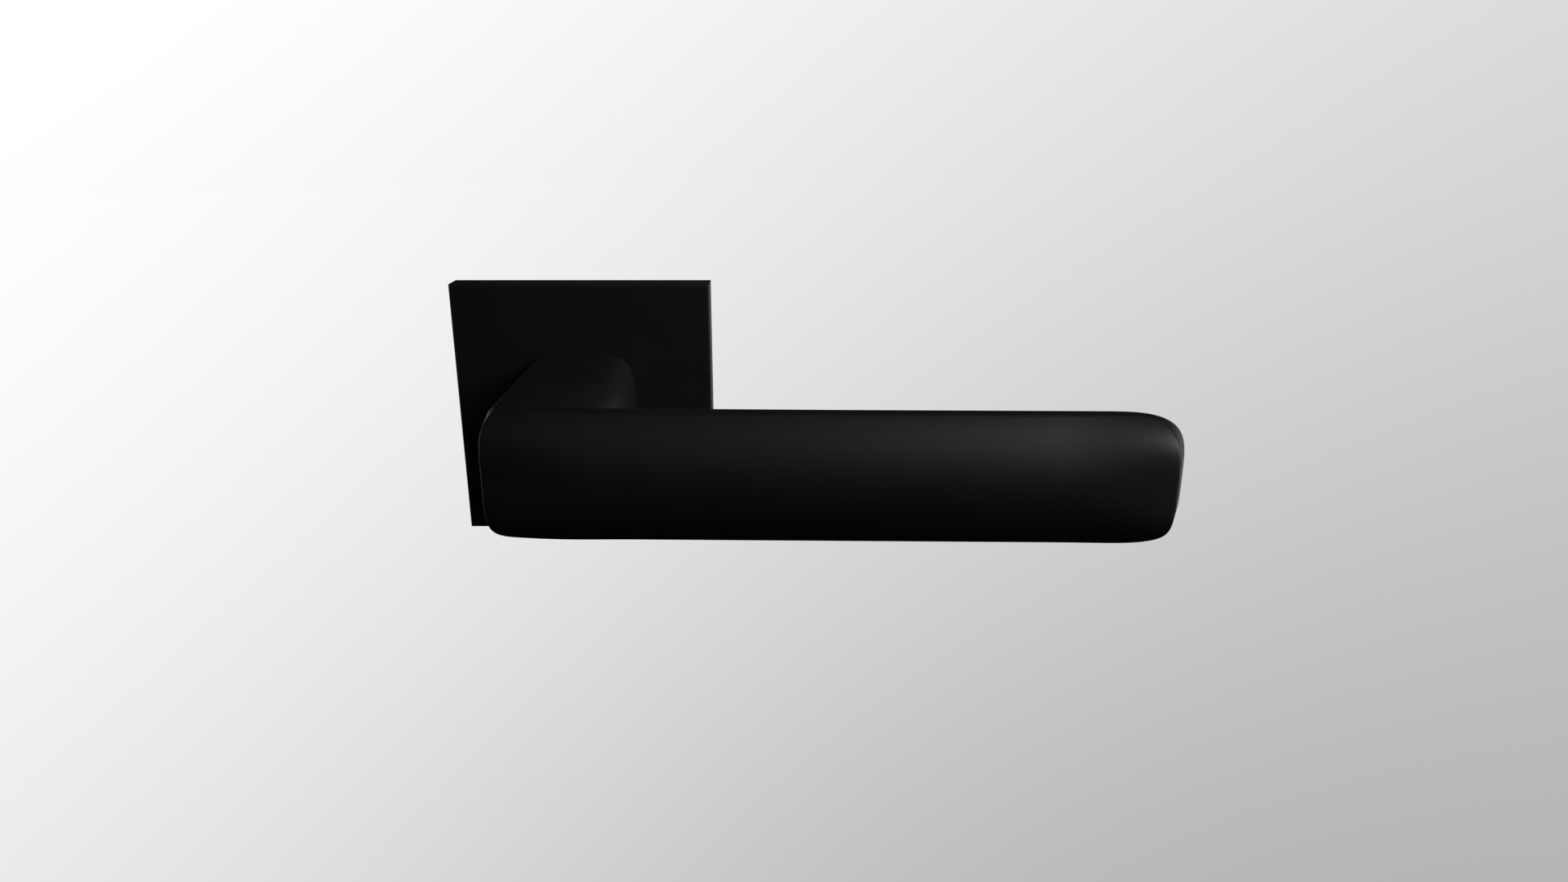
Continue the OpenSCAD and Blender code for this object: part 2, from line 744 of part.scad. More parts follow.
// Skin of the whole lever: one closed outline at each level, joined level to level
module lever_skin() {
    loops = [for (s = levels)
        [for (p = concat(outer_side(s), backwards(inner_side(s)))) lever_point(p[0], p[1], s)]];
    size = len(loops[0]);
    top = len(levels) - 1;
    points = [for (loop = loops) each loop];
    outer_count = len(outer_side(0));
    inner_count = size - outer_count;
    // Strips that close the narrow flats at the bottom and top, from the neck's end to the tip
    pairs = [for (i = [0 : max(outer_count, inner_count)])
        [min(i, outer_count - 1), size - 1 - min(i, inner_count - 1)]];
    strip = [for (i = [0 : len(pairs) - 2])
        each [
            if (pairs[i][0] != pairs[i + 1][0]) [pairs[i][0], pairs[i + 1][0], pairs[i][1]],
            if (pairs[i][1] != pairs[i + 1][1]) [pairs[i + 1][0], pairs[i + 1][1], pairs[i][1]]
        ]];
    faces = [
        for (f = strip) f,
        for (f = strip) [f[2] + top * size, f[1] + top * size, f[0] + top * size],
        for (i = [0 : top - 1], k = [0 : size - 1])
            let (n = (k + 1) % size, a = i * size, b = a + size)
            each [[a + k, b + k, b + n], [a + k, b + n, a + n]]
    ];
    polyhedron(points, faces);
}

// Cast lever: neck with a socket for the shank, and the arm
module lever_handle() {
    color("#1b1d1f")
    difference() {
        lever_skin();
        bar(shank_front_y - seat_fit, 0, shank_r + seat_fit);
        translate([0, neck_end_y - grub_y, -neck_h])
            cylinder(h = neck_h, r = grub_d / 2 + seat_fit);
        translate([0, neck_end_y - cross_pin_y, -neck_h])
            cylinder(h = neck_h, r = cross_pin_d / 2 + seat_fit);
    }
}

// Turned steel shank: square socket, two flats for the rotor, groove for the ring
module lever_shank() {
    socket_w = spindle_w + 2 * seat_fit;
    color("#a3a7ab")
    difference() {
        intersection() {
            bar(shank_front_y, shank_end_y, shank_r);
            union() {
                bar(shank_front_y, rotor_y - stack_gap, shank_d);
                plate(rotor_y - stack_gap - eps, shank_end_y)
                    square([shank_d + over, shank_flats_w], center = true);
            }
        }
        tube(ring_y - seat_fit, ring_y + ring_t + seat_fit, groove_d / 2, shank_d);
        plate(-spindle_seat - seat_fit, shank_end_y + over)
            square(socket_w, center = true);
        translate([0, neck_end_y - grub_y, -shank_d])
            cylinder(h = shank_d, r = grub_d / 2 + seat_fit);
        translate([0, neck_end_y - cross_pin_y, -shank_d])
            cylinder(h = shank_d, r = cross_pin_d / 2 + seat_fit);
    }
}

// Room for the grub screw and the cross pin, from below the neck's surface up to the spindle
pin_room = neck_h / 2 - pin_sink - spindle_w / 2 - 2 * seat_fit;

// Steel pin through the underside of the neck into the shank's wall
module cross_pin() {
    color("#c3c6c9")
    translate([0, neck_end_y - cross_pin_y, pin_sink - neck_h / 2])
        cylinder(h = pin_room, r = cross_pin_d / 2);
}

// Square spindle with bevelled ends
module spindle() {
    w = spindle_w / 2;
    b = spindle_bevel;
    section = [
        [-w, b - spindle_seat], [b - w, -spindle_seat], [w - b, -spindle_seat], [w, b - spindle_seat],
        [w, spindle_reach - b], [w - b, spindle_reach], [b - w, spindle_reach], [-w, spindle_reach - b]
    ];
    color("#b7babd")
    intersection() {
        translate([0, 0, -w])
            linear_extrude(spindle_w)
                polygon(section);
        rotate([0, 90, 0])
            translate([0, 0, -w])
                linear_extrude(spindle_w)
                    polygon(section);
    }
}

// Cup-point grub screw with a hexagon socket, below the spindle
module grub_screw() {
    cup = grub_d / 8;
    color("#2a2c2e")
    translate([0, neck_end_y - grub_y, pin_sink - neck_h / 2])
        difference() {
            cylinder(h = pin_room, r = grub_d / 2);
            translate([0, 0, -eps])
                cylinder(h = grub_d / 2, r = grub_d * 0.29, $fn = 6);
            translate([0, 0, pin_room - cup])
                cylinder(h = cup + eps, r1 = eps, r2 = cup);
        }
}

// Rotor that turns with the shank, winds the spring and stops the lever
module spring_rotor() {
    rim_r = barrel_bore_r - rotor_gap;
    leg_turn = 360 * spring_turns;
    color("#8d9094")
    difference() {
        union() {
            bar(rotor_y, rotor_end_y, rim_r);
            plate(rotor_y, rotor_end_y)
                intersection() {
                    circle(r = lug_sweep_r);
                    translate([-lug_w / 2, 0])
                        square([lug_w, lug_sweep_r]);
                }
        }
        plate(rotor_y - over, rotor_end_y + over)
            intersection() {
                circle(r = shank_r + seat_fit);
                square([shank_d + over, shank_flats_w + 2 * seat_fit], center = true);
            }
        at_turn(leg_turn)
            translate([0, 0, coil_r])
                bar(rotor_y - over, rotor_end_y + over, leg_hole_r);
    }
}

// Open retaining ring with two eyed ends, in the shank's groove
module retaining_ring() {
    band_r = groove_d / 2 + seat_fit;
    eye_r = ring_eye_d / 2;
    color("#6f7377")
    difference() {
        union() {
            tube(ring_y, ring_y + ring_t, band_r, band_r + ring_w);
            for (side = [-1, 1])
                at_turn(180 + side * ring_eye_turn)
                    translate([0, 0, band_r + eye_r])
                        bar(ring_y, ring_y + ring_t, eye_r);
        }
        plate(ring_y - over, ring_y + ring_t + over)
            sector(180 - ring_gap_turn, 180 + ring_gap_turn, shank_d);
        for (side = [-1, 1])
            at_turn(180 + side * ring_eye_turn)
                translate([0, 0, band_r + eye_r])
                    bar(ring_y - over, ring_y + ring_t + over, eye_r / 2);
    }
}

rose_cover();
rose_base();
cover_clips();
spring_housing();
front_bush();
rear_bush();
return_spring();
end_plate();
end_plate_screws();
disc_spring();
bolt_sleeves();
through_bolts();
wood_screws();
lever_handle();
lever_shank();
cross_pin();
spindle();
grub_screw();
spring_rotor();
retaining_ring();
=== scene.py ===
import math

import bmesh
import bpy
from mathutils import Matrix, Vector


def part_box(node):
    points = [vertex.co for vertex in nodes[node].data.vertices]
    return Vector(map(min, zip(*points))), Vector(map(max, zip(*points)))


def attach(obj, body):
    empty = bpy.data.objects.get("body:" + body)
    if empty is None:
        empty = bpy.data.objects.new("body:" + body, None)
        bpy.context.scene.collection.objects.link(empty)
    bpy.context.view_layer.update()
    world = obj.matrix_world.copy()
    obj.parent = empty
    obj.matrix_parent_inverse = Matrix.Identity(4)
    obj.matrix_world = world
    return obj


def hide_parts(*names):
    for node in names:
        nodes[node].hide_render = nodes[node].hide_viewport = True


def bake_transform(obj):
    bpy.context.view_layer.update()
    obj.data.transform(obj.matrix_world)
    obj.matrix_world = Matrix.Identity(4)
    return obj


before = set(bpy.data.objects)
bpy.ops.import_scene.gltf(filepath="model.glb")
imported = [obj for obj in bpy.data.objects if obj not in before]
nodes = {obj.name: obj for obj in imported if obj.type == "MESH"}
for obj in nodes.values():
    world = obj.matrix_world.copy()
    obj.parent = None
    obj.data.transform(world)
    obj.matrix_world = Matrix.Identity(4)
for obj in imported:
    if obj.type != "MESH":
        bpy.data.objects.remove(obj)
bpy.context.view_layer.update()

# ---- Rose base -----------------------------------------------------------------------------
# The plate that is screwed to the door and that everything else is built on.
# Zinc alloy, pressure die cast and left as it comes from the die, with a fine dull grain.
mm = 0.001


def new_finish(name, metallic, specular=0.5):
    """A material with an empty Principled shader, and the object-space point its grain follows."""
    material = bpy.data.materials.new(name)
    material.use_nodes = True
    shader = material.node_tree.nodes["Principled BSDF"]
    shader.inputs["Metallic"].default_value = metallic
    shader.inputs["Specular IOR Level"].default_value = specular
    point = material.node_tree.nodes.new("ShaderNodeTexCoord").outputs["Object"]
    return material, shader, point


def grain(material, point, size, stretch=(1, 1, 1), detail=4.0):
    """Cloudy grain of the given size, drawn out along an axis where stretch is below 1."""
    tree = material.node_tree
    mapping = tree.nodes.new("ShaderNodeMapping")
    mapping.inputs["Scale"].default_value = stretch
    noise = tree.nodes.new("ShaderNodeTexNoise")
    noise.inputs["Scale"].default_value = 1 / size
    noise.inputs["Detail"].default_value = detail
    tree.links.new(point, mapping.inputs["Vector"])
    tree.links.new(mapping.outputs["Vector"], noise.inputs["Vector"])
    return noise.outputs["Fac"]


def tint(material, shader, amount, dark, light):
    """Colour that drifts between two shades as the grain does."""
    ramp = material.node_tree.nodes.new("ShaderNodeValToRGB")
    ramp.color_ramp.elements[0].position = 0.35
    ramp.color_ramp.elements[1].position = 0.65
    ramp.color_ramp.elements[0].color = (*dark, 1)
    ramp.color_ramp.elements[1].color = (*light, 1)
    material.node_tree.links.new(amount, ramp.inputs["Fac"])
    material.node_tree.links.new(ramp.outputs["Color"], shader.inputs["Base Color"])


def polish(material, shader, amount, smooth, rough):
    """Roughness that drifts between two values as the grain does."""
    spread = material.node_tree.nodes.new("ShaderNodeMapRange")
    spread.inputs["From Min"].default_value = 0.3
    spread.inputs["From Max"].default_value = 0.7
    spread.inputs["To Min"].default_value = smooth
    spread.inputs["To Max"].default_value = rough
    material.node_tree.links.new(amount, spread.inputs["Value"])
    material.node_tree.links.new(spread.outputs["Result"], shader.inputs["Roughness"])


def relief(material, shader, amount, depth):
    """Surface relief of that depth, laid over any relief the shader already has."""
    bump = material.node_tree.nodes.new("ShaderNodeBump")
    bump.inputs["Distance"].default_value = depth
    under = shader.inputs["Normal"].links
    if under:
        material.node_tree.links.new(under[0].from_socket, bump.inputs["Normal"])
    material.node_tree.links.new(amount, bump.inputs["Height"])
    material.node_tree.links.new(bump.outputs["Normal"], shader.inputs["Normal"])


def dress(node, material, edge=0.0):
    """Gives a CAD node its finish, and breaks its sharp edges as tumbling or plating does."""
    piece = nodes[node]
    piece.data.materials.clear()
    piece.data.materials.append(material)
    if edge:
        weld = piece.modifiers.new("one_skin", "WELD")
        weld.merge_threshold = 0.002 * mm
        broken = piece.modifiers.new("broken_edges", "BEVEL")
        broken.width = edge
        broken.segments = 2
        broken.limit_method = "ANGLE"
        broken.angle_limit = math.radians(40)


die_cast_zinc, shader, point = new_finish("die_cast_zinc", 1.0)
cast_grain = grain(die_cast_zinc, point, 0.6 * mm)
flow_marks = grain(die_cast_zinc, point, 9 * mm, detail=2.0)
tint(die_cast_zinc, shader, flow_marks, (0.36, 0.36, 0.35), (0.47, 0.47, 0.45))
polish(die_cast_zinc, shader, cast_grain, 0.42, 0.62)
relief(die_cast_zinc, shader, cast_grain, 0.02 * mm)
dress("rose_base", die_cast_zinc, 0.08 * mm)

# ---- Spring housing ------------------------------------------------------------------------
# The keyed cup that drops into the base and reaches into the door round the spindle.
# The same die-cast alloy as the base; its barrel holds the return spring and the stops.
dress("spring_housing", die_cast_zinc, 0.08 * mm)

# ---- Bushes --------------------------------------------------------------------------------
# Two flanged sleeves that the shank turns in, one in the housing and one in the end plate.
# Natural nylon, injection moulded, pushed in by hand; slightly waxy and faintly mottled.
natural_nylon, shader, point = new_finish("natural_nylon", 0.0)
shader.inputs["Subsurface Weight"].default_value = 0.15
shader.inputs["Subsurface Radius"].default_value = (1.0 * mm, 0.8 * mm, 0.6 * mm)
shader.inputs["Subsurface Scale"].default_value = 1.0
mould_skin = grain(natural_nylon, point, 0.4 * mm)
tint(natural_nylon, shader, grain(natural_nylon, point, 4 * mm), (0.74, 0.72, 0.65), (0.82, 0.80, 0.74))
polish(natural_nylon, shader, mould_skin, 0.38, 0.52)
relief(natural_nylon, shader, mould_skin, 0.006 * mm)
dress("front_bush", natural_nylon, 0.06 * mm)
dress("rear_bush", natural_nylon, 0.06 * mm)

# ---- Return spring -------------------------------------------------------------------------
# Torsion spring that lifts the lever: one leg stands in the housing's floor, the other in
# the rotor. Round oil-tempered wire, coiled cold; dark, with a thin film of oil left on it.
SPRING_TURNS = 2.75
WIRE_SIDES = 20
RINGS_PER_TURN = 72

oiled_spring_steel, shader, point = new_finish("oiled_spring_steel", 1.0)
wire_grain = grain(oiled_spring_steel, point, 0.5 * mm)
oil_film = grain(oiled_spring_steel, point, 3 * mm)
tint(oiled_spring_steel, shader, oil_film, (0.15, 0.15, 0.16), (0.25, 0.26, 0.28))
polish(oiled_spring_steel, shader, wire_grain, 0.24, 0.42)
relief(oiled_spring_steel, shader, wire_grain, 0.004 * mm)

SHARP_EDGE = math.radians(35)


def new_piece(name, shell, material):
    """A scene object from a bmesh, smooth but for its sharp edges."""
    bmesh.ops.recalc_face_normals(shell, faces=shell.faces)
    mesh = bpy.data.meshes.new(name)
    shell.to_mesh(mesh)
    shell.free()
    mesh.shade_smooth()
    mesh.set_sharp_from_angle(angle=SHARP_EDGE)
    mesh.materials.append(material)
    piece = bpy.data.objects.new(name, mesh)
    bpy.context.scene.collection.objects.link(piece)
    return piece


def join_rings(shell, rings):
    """Skins a row of rings of equal count, and closes both ends."""
    for near, far in zip(rings, rings[1:]):
        for k in range(len(near)):
            n = (k + 1) % len(near)
            shell.faces.new((near[k], near[n], far[n], far[k]))
    shell.faces.new(rings[0])
    shell.faces.new(rings[-1][::-1])


def wire(name, route, radius, material):
    """Round wire swept along a route that winds about the spindle axis."""
    shell = bmesh.new()
    rings = []
    angles = [2 * math.pi * k / WIRE_SIDES for k in range(WIRE_SIDES)]
    for i, spot in enumerate(route):
        way = (route[min(i + 1, len(route) - 1)] - route[max(i - 1, 0)]).normalized()
        out = Vector((spot.x, 0, spot.z))
        out = (out - out.dot(way) * way).normalized()
        side = way.cross(out)
        rim = [radius * (math.cos(a) * out + math.sin(a) * side) for a in angles]
        rings.append([shell.verts.new(spot + step) for step in rim])
    join_rings(shell, rings)
    return new_piece(name, shell, material)


spring_low, spring_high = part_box("return_spring")
wire_r = 0.7 * mm
coil_r = (spring_high.x - spring_low.x) / 2 - wire_r
rotor_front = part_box("spring_rotor")[0].y
coil_gap = 0.1 * mm
housing_floor = 0.8 * mm
coil_start = housing_floor + coil_gap + wire_r
coil_end = rotor_front - coil_gap - wire_r


def on_coil(turn, y):
    """Place on the wire's centre line, at that angle from the top."""
    return Vector((coil_r * math.sin(turn), y, coil_r * math.cos(turn)))


last_turn = 2 * math.pi * SPRING_TURNS
ring_count = round(RINGS_PER_TURN * SPRING_TURNS)
spring_route = [on_coil(0, spring_low.y), on_coil(0, coil_start - wire_r)]
spring_route += [
    on_coil(last_turn * i / ring_count, coil_start + (coil_end - coil_start) * i / ring_count)
    for i in range(ring_count + 1)
]
spring_route += [on_coil(last_turn, rotor_front), on_coil(last_turn, spring_high.y)]
return_spring = wire("return_spring_wire", spring_route, wire_r, oiled_spring_steel)
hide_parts("return_spring")
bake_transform(return_spring)

# ---- Spring rotor --------------------------------------------------------------------------
# The disc that winds the spring; it slides on the shank's two flats and its lug meets the stops.
# Steel, turned and milled, with the fine rings that the lathe tool leaves.
turned_steel, shader, point = new_finish("turned_steel", 1.0)
tool_rings = grain(turned_steel, point, 0.5 * mm, (0.12, 1, 0.12), detail=2.0)
tint(turned_steel, shader, grain(turned_steel, point, 6 * mm), (0.40, 0.41, 0.43), (0.50, 0.51, 0.53))
polish(turned_steel, shader, tool_rings, 0.22, 0.40)
relief(turned_steel, shader, tool_rings, 0.006 * mm)
dress("spring_rotor", turned_steel, 0.06 * mm)

# ---- End plate and its screws --------------------------------------------------------------
# The steel disc that closes the barrel, held by three small pan-head screws.
# Pressed and thread-rolled, then bright zinc plated with a cool, slightly blue lustre.
bright_zinc, shader, point = new_finish("bright_zinc_plate", 1.0)
plate_bloom = grain(bright_zinc, point, 2.5 * mm)
tint(bright_zinc, shader, plate_bloom, (0.54, 0.56, 0.60), (0.60, 0.62, 0.66))
polish(bright_zinc, shader, plate_bloom, 0.34, 0.40)
relief(bright_zinc, shader, grain(bright_zinc, point, 0.3 * mm, detail=2.0), 0.0012 * mm)
dress("end_plate", bright_zinc, 0.08 * mm)

SCREW_SIDES = 32
SAME_SPOT = 0.0005 * mm
overcut = 1 * mm


def cut(piece, cutters):
    """Takes the cutters' shapes out of a piece, and throws the cutters away."""
    for cutter in cutters:
        chip = piece.modifiers.new("cut", "BOOLEAN")
        chip.object = cutter
        chip.solver = "EXACT"
    whole = piece.evaluated_get(bpy.context.evaluated_depsgraph_get())
    carved = bpy.data.meshes.new_from_object(whole)
    carved.name = piece.data.name
    piece.modifiers.clear()
    piece.data = carved
    for cutter in cutters:
        bpy.data.objects.remove(cutter)


def block(low, high, turn, centre):
    """Rectangular cutter, turned about a line along Y through centre."""
    shell = bmesh.new()
    bmesh.ops.create_cube(shell, size=1)
    for v in shell.verts:
        v.co = Vector([(a + b) / 2 + c * (b - a) for a, b, c in zip(low, high, v.co)])
        x, z = v.co.x, v.co.z
        v.co.x = centre[0] + x * math.cos(turn) + z * math.sin(turn)
        v.co.z = centre[2] - x * math.sin(turn) + z * math.cos(turn)
    return new_piece("cutter", shell, bright_zinc)


def cross_recess(centre, y0, y1, diameter):
    """The two crossed slots of a driver's recess, from the screw's diameter, set diagonally."""
    half_w = 0.125 * diameter
    half_l = 0.6 * diameter
    low, high = (-half_w, y0, -half_l), (half_w, y1, half_l)
    return [block(low, high, math.pi / 4 + quarter, centre) for quarter in (0, math.pi / 2)]


def ring(shell, centre, y, radius):
    """One ring of points round a screw."""
    turns = [2 * math.pi * k / SCREW_SIDES for k in range(SCREW_SIDES)]
    spots = [(centre[0] + radius * math.sin(a), y, centre[2] + radius * math.cos(a)) for a in turns]
    return [shell.verts.new(spot) for spot in spots]


def screw_shell(centre, before, thread, after):
    """A screw: turned profile, helical thread, turned profile. Profiles are (y, radius) points.

    thread is (start, end, pitch, phases, radius), where radius(y, crest) is the surface at y."""
    start, end, pitch, phases, radius = thread
    shell = bmesh.new()
    rows = len(phases)
    turns = math.ceil((end - start) / pitch) + 2
    grid = []
    for k in range(SCREW_SIDES):
        share = k / SCREW_SIDES
        column = []
        for i in range(turns * rows):
            place = start + (i // rows + phases[i % rows][0] + share - 1) * pitch
            y = min(max(place, start), end)
            runout = min(1.0, (y - start) / pitch, (end - y) / pitch)
            r = radius(y, phases[i % rows][1] * runout)
            a = 2 * math.pi * share
            column.append(shell.verts.new((centre[0] + r * math.sin(a), y, centre[2] + r * math.cos(a))))
        grid.append(column)
    for k in range(SCREW_SIDES):
        shift = rows if k == SCREW_SIDES - 1 else 0
        beside = grid[(k + 1) % SCREW_SIDES]
        for i in range(turns * rows - 1 - shift):
            shell.faces.new((grid[k][i], grid[k][i + 1], beside[i + 1 + shift], beside[i + shift]))
    for profile, y, flip in ((before, start, 1), (after, end, -1)):
        rings = [ring(shell, centre, *p) for p in profile] + [ring(shell, centre, y, radius(y, 0))]
        for near, far in zip(rings, rings[1:]):
            for k in range(SCREW_SIDES):
                n = (k + 1) % SCREW_SIDES
                shell.faces.new((near[k], near[n], far[n], far[k])[::flip])
        shell.faces.new(rings[0][::-flip])
    bmesh.ops.remove_doubles(shell, verts=shell.verts, dist=SAME_SPOT)
    bmesh.ops.dissolve_degenerate(shell, edges=shell.edges, dist=SAME_SPOT)
    return shell


def straight_thread(core_r, crest_r):
    """Surface of a thread that keeps its core and its crest all along."""
    return lambda y, crest: core_r + (crest_r - core_r) * crest


# Where a metric thread's root, flanks and crest lie within one pitch, with 1 at the crest
METRIC = ((0.0, 0), (0.14, 0), (0.5, 1), (0.62, 1))

screws_low, screws_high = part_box("end_plate_screws")
plate_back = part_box("end_plate")[1].y
pan_top = screws_high.y
pan_r = 1.5 * mm
pan_dome = 0.55 * mm
pan_arcs = (0.25, 0.5, 0.75, 1.0, 1.25, math.pi / 2)
pan_recess = 0.6 * mm
pan_screw_r = 1.0 * mm
pan_core_r = 0.8 * mm
pan_pitch = 0.4 * mm
pan_neck = 0.1 * mm
pan_tip_r = 0.75 * mm
pan_tip = 0.2 * mm
pan_bearings = (120, 210, 300)
screw_ring = (screws_high.x - pan_r) / math.sin(math.radians(pan_bearings[0]))
for number, bearing in enumerate(pan_bearings, 1):
    a = math.radians(bearing)
    centre = (screw_ring * math.sin(a), 0, screw_ring * math.cos(a))
    head = [(pan_top - pan_dome * (1 - math.cos(t)), pan_r * math.sin(t)) for t in pan_arcs]
    shell = screw_shell(
        centre,
        [(screws_low.y, pan_tip_r)],
        (screws_low.y + pan_tip, plate_back - pan_neck, pan_pitch, METRIC,
         straight_thread(pan_core_r, pan_screw_r)),
        head + [(plate_back, pan_r), (plate_back, pan_screw_r)],
    )
    pan_screw = new_piece(f"end_plate_screw_{number}", shell, bright_zinc)
    cut(pan_screw, cross_recess(centre, pan_top - pan_recess, pan_top + overcut, 2 * pan_screw_r))
    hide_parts("end_plate_screws")
    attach(pan_screw, "rose")

# ---- Disc spring and retaining ring --------------------------------------------------------
# The dished washer takes up end play; the open ring in the shank's groove keeps it all together.
# Both are stamped from spring steel, hardened and oiled.
dress("disc_spring", oiled_spring_steel, 0.04 * mm)
dress("retaining_ring", oiled_spring_steel)

# ---- Locating sleeves and through bolts ----------------------------------------------------
# Two sleeves pressed into the base take the lever's turning load into the door.
# Through them run two countersunk machine bolts with a rolled thread, all bright zinc plated.
dress("bolt_sleeves", bright_zinc, 0.1 * mm)

bolts_low, bolts_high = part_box("through_bolts")
bolt_r = 2.0 * mm
bolt_head_r = 3.75 * mm
bolt_x = bolts_high.x - bolt_head_r
bolt_core_r = 1.6 * mm
bolt_pitch = 0.7 * mm
bolt_recess = 1.6 * mm
bolt_tip_r = 1.3 * mm
bolt_tip = 0.6 * mm
waist = 0.15 * mm
waist_slope = 0.3 * mm
head_rim = 0.2 * mm
bolt_thread = 30 * mm
thread_start = bolts_high.y - bolt_thread
for side, place in ((-1, "left"), (1, "right")):
    centre = (side * bolt_x, 0, 0)
    face = bolts_low.y
    neck = bolt_r - waist
    shell = screw_shell(
        centre,
        [(face, bolt_head_r), (face + head_rim, bolt_head_r),
         (face + head_rim + bolt_head_r - neck, neck), (thread_start - waist_slope, neck)],
        (thread_start, bolts_high.y - bolt_tip, bolt_pitch, METRIC,
         straight_thread(bolt_core_r, bolt_r)),
        [(bolts_high.y, bolt_tip_r)],
    )
    bolt = new_piece(f"through_bolt_{place}", shell, bright_zinc)
    cut(bolt, cross_recess(centre, face - overcut, face + bolt_recess, 2 * bolt_r))
    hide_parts("through_bolts")
    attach(bolt, "rose")

# ---- Wood screws ---------------------------------------------------------------------------
# Four countersunk screws that hold the base to the door before the bolts go in.
# Steel with a deep, sharp rolled thread and a cone point, plated in warm yellow zinc.
yellow_zinc, shader, point = new_finish("yellow_zinc_plate", 1.0)
passivate = grain(yellow_zinc, point, 1.6 * mm)
tint(yellow_zinc, shader, passivate, (0.55, 0.44, 0.20), (0.68, 0.58, 0.36))
polish(yellow_zinc, shader, passivate, 0.24, 0.38)
relief(yellow_zinc, shader, grain(yellow_zinc, point, 0.3 * mm), 0.003 * mm)

# A wood thread has a wide root and a narrow crest
WOOD = ((0.0, 0), (0.5, 0), (0.72, 1), (0.78, 1))

wood_low, wood_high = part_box("wood_screws")
wood_r = 1.75 * mm
wood_core_r = 1.15 * mm
wood_pitch = 1.5 * mm
wood_head_r = 3.4 * mm
wood_at = wood_high.x - wood_head_r
wood_recess = 1.4 * mm
wood_neck_end = 0.4 * mm
wood_thread_start = 1 * mm
wood_tip_r = 0.08 * mm
wood_tip = 0.1 * mm
point_run = 5 * mm
point_share = 0.12


def wood_surface(y, crest):
    """Core and crest both run down to point_share of their size over the point's length."""
    left = min(1.0, point_share + (1 - point_share) * (wood_high.y - y) / point_run)
    return (wood_core_r + (wood_r - wood_core_r) * crest) * left


for x_side, x_name in ((-1, "left"), (1, "right")):
    for z_side, z_name in ((-1, "lower"), (1, "upper")):
        centre = (x_side * wood_at, 0, z_side * wood_at)
        face = wood_low.y
        neck = wood_r - waist
        shell = screw_shell(
            centre,
            [(face, wood_head_r), (face + head_rim, wood_head_r),
             (face + head_rim + wood_head_r - neck, neck), (wood_neck_end, neck)],
            (wood_thread_start, wood_high.y - wood_tip, wood_pitch, WOOD, wood_surface),
            [(wood_high.y, wood_tip_r)],
        )
        wood_screw = new_piece(f"wood_screw_{z_name}_{x_name}", shell, yellow_zinc)
        cut(wood_screw, cross_recess(centre, face - overcut, face + wood_recess, 2 * wood_r))
        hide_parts("wood_screws")
        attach(wood_screw, "rose")

# ---- Rose cover and its clips --------------------------------------------------------------
# The slim square cover snaps over the base on four bowed leaf springs and hides the screws.
# Pressed steel, powder coated satin-matte black; the coat is fine, even and soft on the edges.
matte_black, shader, point = new_finish("matte_black_coat", 0.0, specular=0.34)
coat_peel = grain(matte_black, point, 0.7 * mm, detail=3.0)
coat_fine = grain(matte_black, point, 0.18 * mm, detail=2.0)
coat_shade = grain(matte_black, point, 7 * mm, detail=2.0)
tint(matte_black, shader, coat_shade, (0.0018, 0.0019, 0.0019), (0.0024, 0.0025, 0.0025))
polish(matte_black, shader, coat_fine, 0.50, 0.56)
relief(matte_black, shader, coat_peel, 0.004 * mm)
relief(matte_black, shader, coat_fine, 0.0015 * mm)
dress("cover_clips", oiled_spring_steel)
dress("rose_cover", matte_black, 0.07 * mm)

# ---- Shank, cross pin, spindle and grub screw ----------------------------------------------
# The turned steel shank is pressed into the neck and locked there by the cross pin.
# The square spindle slides into it and a blackened hexagon-socket screw clamps it from below.
dress("lever_shank", turned_steel, 0.06 * mm)
dress("cross_pin", bright_zinc, 0.15 * mm)
dress("spindle", bright_zinc)

blackened_steel, shader, point = new_finish("blackened_steel", 1.0)
oxide = grain(blackened_steel, point, 0.5 * mm)
tint(blackened_steel, shader, oxide, (0.022, 0.022, 0.024), (0.040, 0.040, 0.043))
polish(blackened_steel, shader, oxide, 0.32, 0.48)
relief(blackened_steel, shader, oxide, 0.004 * mm)
dress("grub_screw", blackened_steel, 0.08 * mm)

# ---- Lever ---------------------------------------------------------------------------------
# One casting: the neck, and the arm with a domed face that flattens towards two crisp ends.
# Zinc alloy, ground smooth and coated like the cover; the neck's underside has two drilled holes.
lever_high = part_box("lever_handle")[1]
LEVEL_STEPS = 44
LEVEL_TOP = 0.9985
LEVEL_CROWDING = 2.2
CORNER_CROWDING = 1.7
RUN_STEPS = 14
BEND_STEPS = 6
END_STEPS = RUN_STEPS + BEND_STEPS
heel_reach = 10.3 * mm
lever_reach = lever_high.x
neck_end = lever_high.y
half_h = 11.7 * mm
arm_t = 9.6 * mm
projection = 51.3 * mm
arm_lean = 1.7 * mm
dome_r = 15.5 * mm
edge_r = 2.2 * mm
end_len = 16 * mm
end_squareness = 4
corner_pull = 0.95
tip_slope = 2.8 * mm
heel_slope = 0.3 * mm
heel_squareness = 5
crease_r = 0.4 * mm
end_flatness = 2.4
tip_run = 19 * mm
heel_run = 26 * mm
heel_fall = 2.7 * mm
neck_w = 21 * mm
neck_h = 24 * mm
neck_squareness = 4.2
outer_squareness = 6.5
fillet_r = 5.5 * mm
blend_run = 6 * mm
swell_lead = 5 * mm
lean_lead = 8 * mm
swell_start = -2 * mm
swell_margin = 3 * mm
swell_run = neck_w - swell_margin
front = -projection
back = front + arm_t
edge_slope = math.asin((half_h - edge_r) / (dome_r - edge_r))
edge_centre = front + dome_r - (dome_r - edge_r) * math.cos(edge_slope)
back_r = back - edge_centre
tip_x = lever_reach - end_len
run_marks = (heel_run - heel_reach, lever_reach - tip_slope - tip_run)


